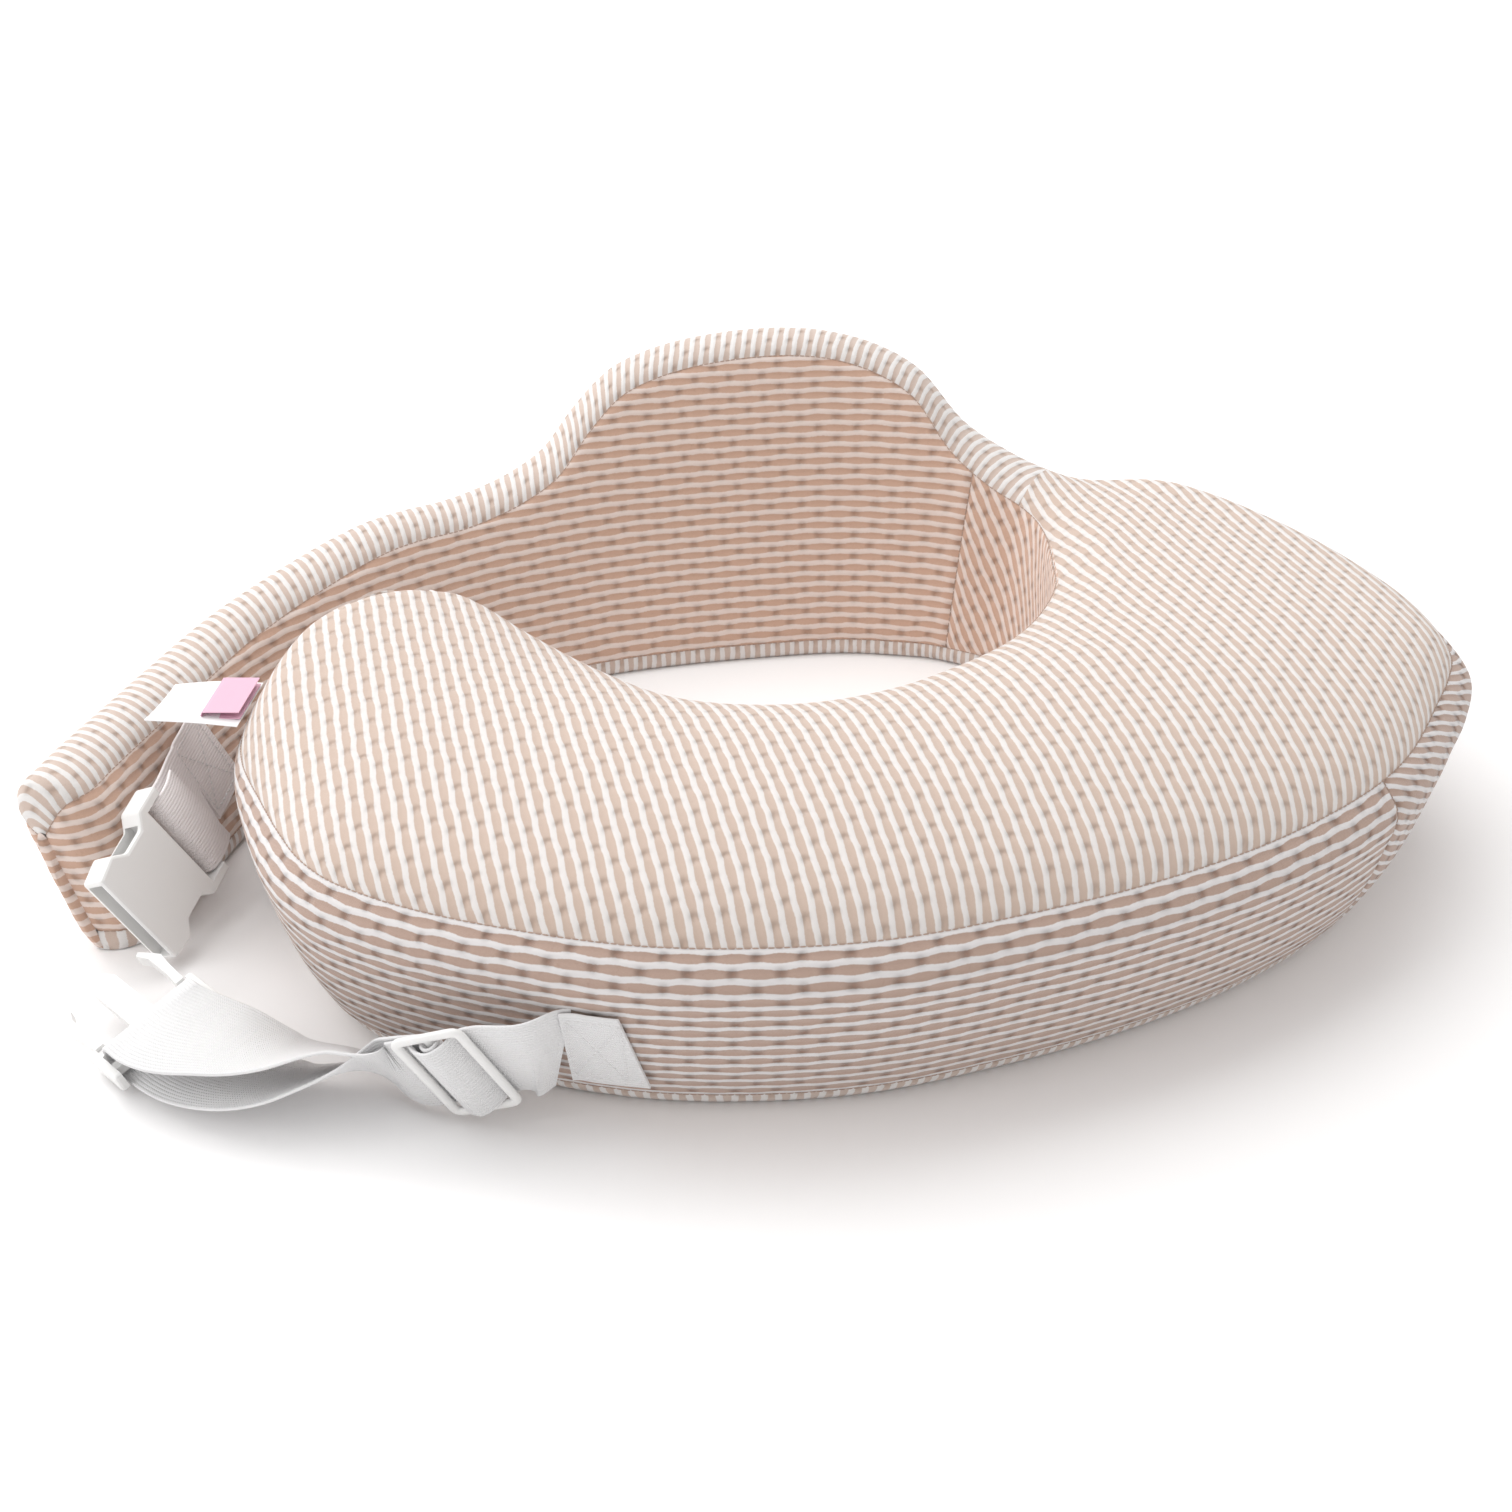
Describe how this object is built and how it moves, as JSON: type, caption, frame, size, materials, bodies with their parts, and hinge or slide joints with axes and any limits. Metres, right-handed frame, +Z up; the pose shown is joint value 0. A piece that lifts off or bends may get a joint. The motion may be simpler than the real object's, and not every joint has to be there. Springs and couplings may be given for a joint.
{
  "type": "nursing pillow",
  "caption": "Crescent foam nursing pillow with a high wrap-round back band, striped knit cover, and a webbing strap with a side-release buckle and adjuster.",
  "frame": {"origin": "centre of the footprint's bounding box at floor level, with the pillow lying on its underside", "axes": "+Z up; +X to the right and +Y to the back, as seen from the side the cushion's wide front faces; the back band's root is at the back right"},
  "size_m": [0.671, 0.5155, 0.1676],
  "materials": {
    "knit": "quilted jersey knit, beige and white stripes with small puckered dimples",
    "liner": "plain woven cotton liner",
    "foam": "open-cell polyurethane foam",
    "webbing": "white woven webbing, matt",
    "buckle": "white moulded acetal, satin",
    "label": "plain satin ribbon label, blank",
    "tab": "folded pink ribbon tab with a plain red back, blank",
    "zip": "nylon coil zip on woven tape",
    "metal": "nickel-plated die-cast metal"
  },
  "bodies": {
    "cushion": {"cushion_foam_core": "foam", "cushion_liner": "liner", "cover_top_panel": "knit", "cover_front_wall": "knit", "cover_back_wall": "knit", "cover_inner_wall": "knit", "cover_gusset": "knit", "cover_bottom_panel": "knit", "anchor_webbing": "webbing", "care_label": "label", "side_tab": "tab", "zip_tape_left": "zip", "zip_tape_right": "zip", "zip_teeth": "zip", "zip_stop_start": "metal", "zip_stop_end": "metal"},
    "band": {"band_foam_core": "foam", "band_liner": "liner", "band_inner_face": "knit", "band_outer_face": "knit", "band_top_strip": "knit", "band_bottom_strip": "knit", "band_end_panel": "knit", "female_anchor_webbing": "webbing"},
    "female_strap": {"female_webbing": "webbing"},
    "female_buckle": {"female_buckle_body": "buckle"},
    "strap": {"loop_webbing": "webbing", "adjuster": "buckle"},
    "male_buckle": {"male_buckle_body": "buckle"},
    "male_arm_near": {"male_buckle_arm_near": "buckle"},
    "male_arm_far": {"male_buckle_arm_far": "buckle"},
    "zip_slider": {"zip_slider": "metal"},
    "zip_pull": {"zip_pull": "metal"}
  },
  "joints": [
    {"name": "band_opening", "type": "hinge", "parent": "cushion", "child": "band", "pos_m": [0.16085, 0.226, 0], "axis": [0, 0, -1], "range_deg": [0, 15], "stiffness_Nm_per_rad": 4},
    {"name": "female_strap_fold", "type": "hinge", "parent": "band", "child": "female_strap", "pos_m": [-0.27047, -0.04889, 0.04366], "axis": [-0.3745, -0.1306, 0.918], "range_deg": [0, 10]},
    {"name": "female_buckle_tilt", "type": "hinge", "parent": "female_strap", "child": "female_buckle", "pos_m": [-0.26825, -0.08651, 0.04305], "axis": [-0.4743, -0.1393, 0.8693], "range_deg": [-2, 12]},
    {"name": "strap_swing", "type": "hinge", "parent": "cushion", "child": "strap", "pos_m": [-0.08198, -0.24141, 0.04124], "axis": [0, 0, 1], "range_deg": [0, 20]},
    {"name": "male_buckle_tilt", "type": "hinge", "parent": "strap", "child": "male_buckle", "pos_m": [-0.25376, -0.19954, 0.01615], "axis": [0.6772, 0.6624, 0.3203], "range_deg": [-2, 15]},
    {"name": "near_arm_squeeze", "type": "hinge", "parent": "male_buckle", "child": "male_arm_near", "pos_m": [-0.2785, -0.20248, 0.00896], "axis": [0.2511, 0.2012, -0.9468], "range_deg": [0, 8], "stiffness_Nm_per_rad": 0.02},
    {"name": "far_arm_squeeze", "type": "hinge", "parent": "male_buckle", "child": "male_arm_far", "pos_m": [-0.25005, -0.17466, 0.02242], "axis": [-0.2511, -0.2012, 0.9468], "range_deg": [0, 8], "stiffness_Nm_per_rad": 0.02},
    {"name": "zip_slide", "type": "slide", "parent": "cushion", "child": "zip_slider", "axis": [1, 0, 0], "range_m": [0, 0.165]},
    {"name": "zip_pull_swing", "type": "hinge", "parent": "zip_slider", "child": "zip_pull", "pos_m": [-0.07955, -0.142, 0.0046], "axis": [0, 1, 0], "range_deg": [0, 90]}
  ]
}
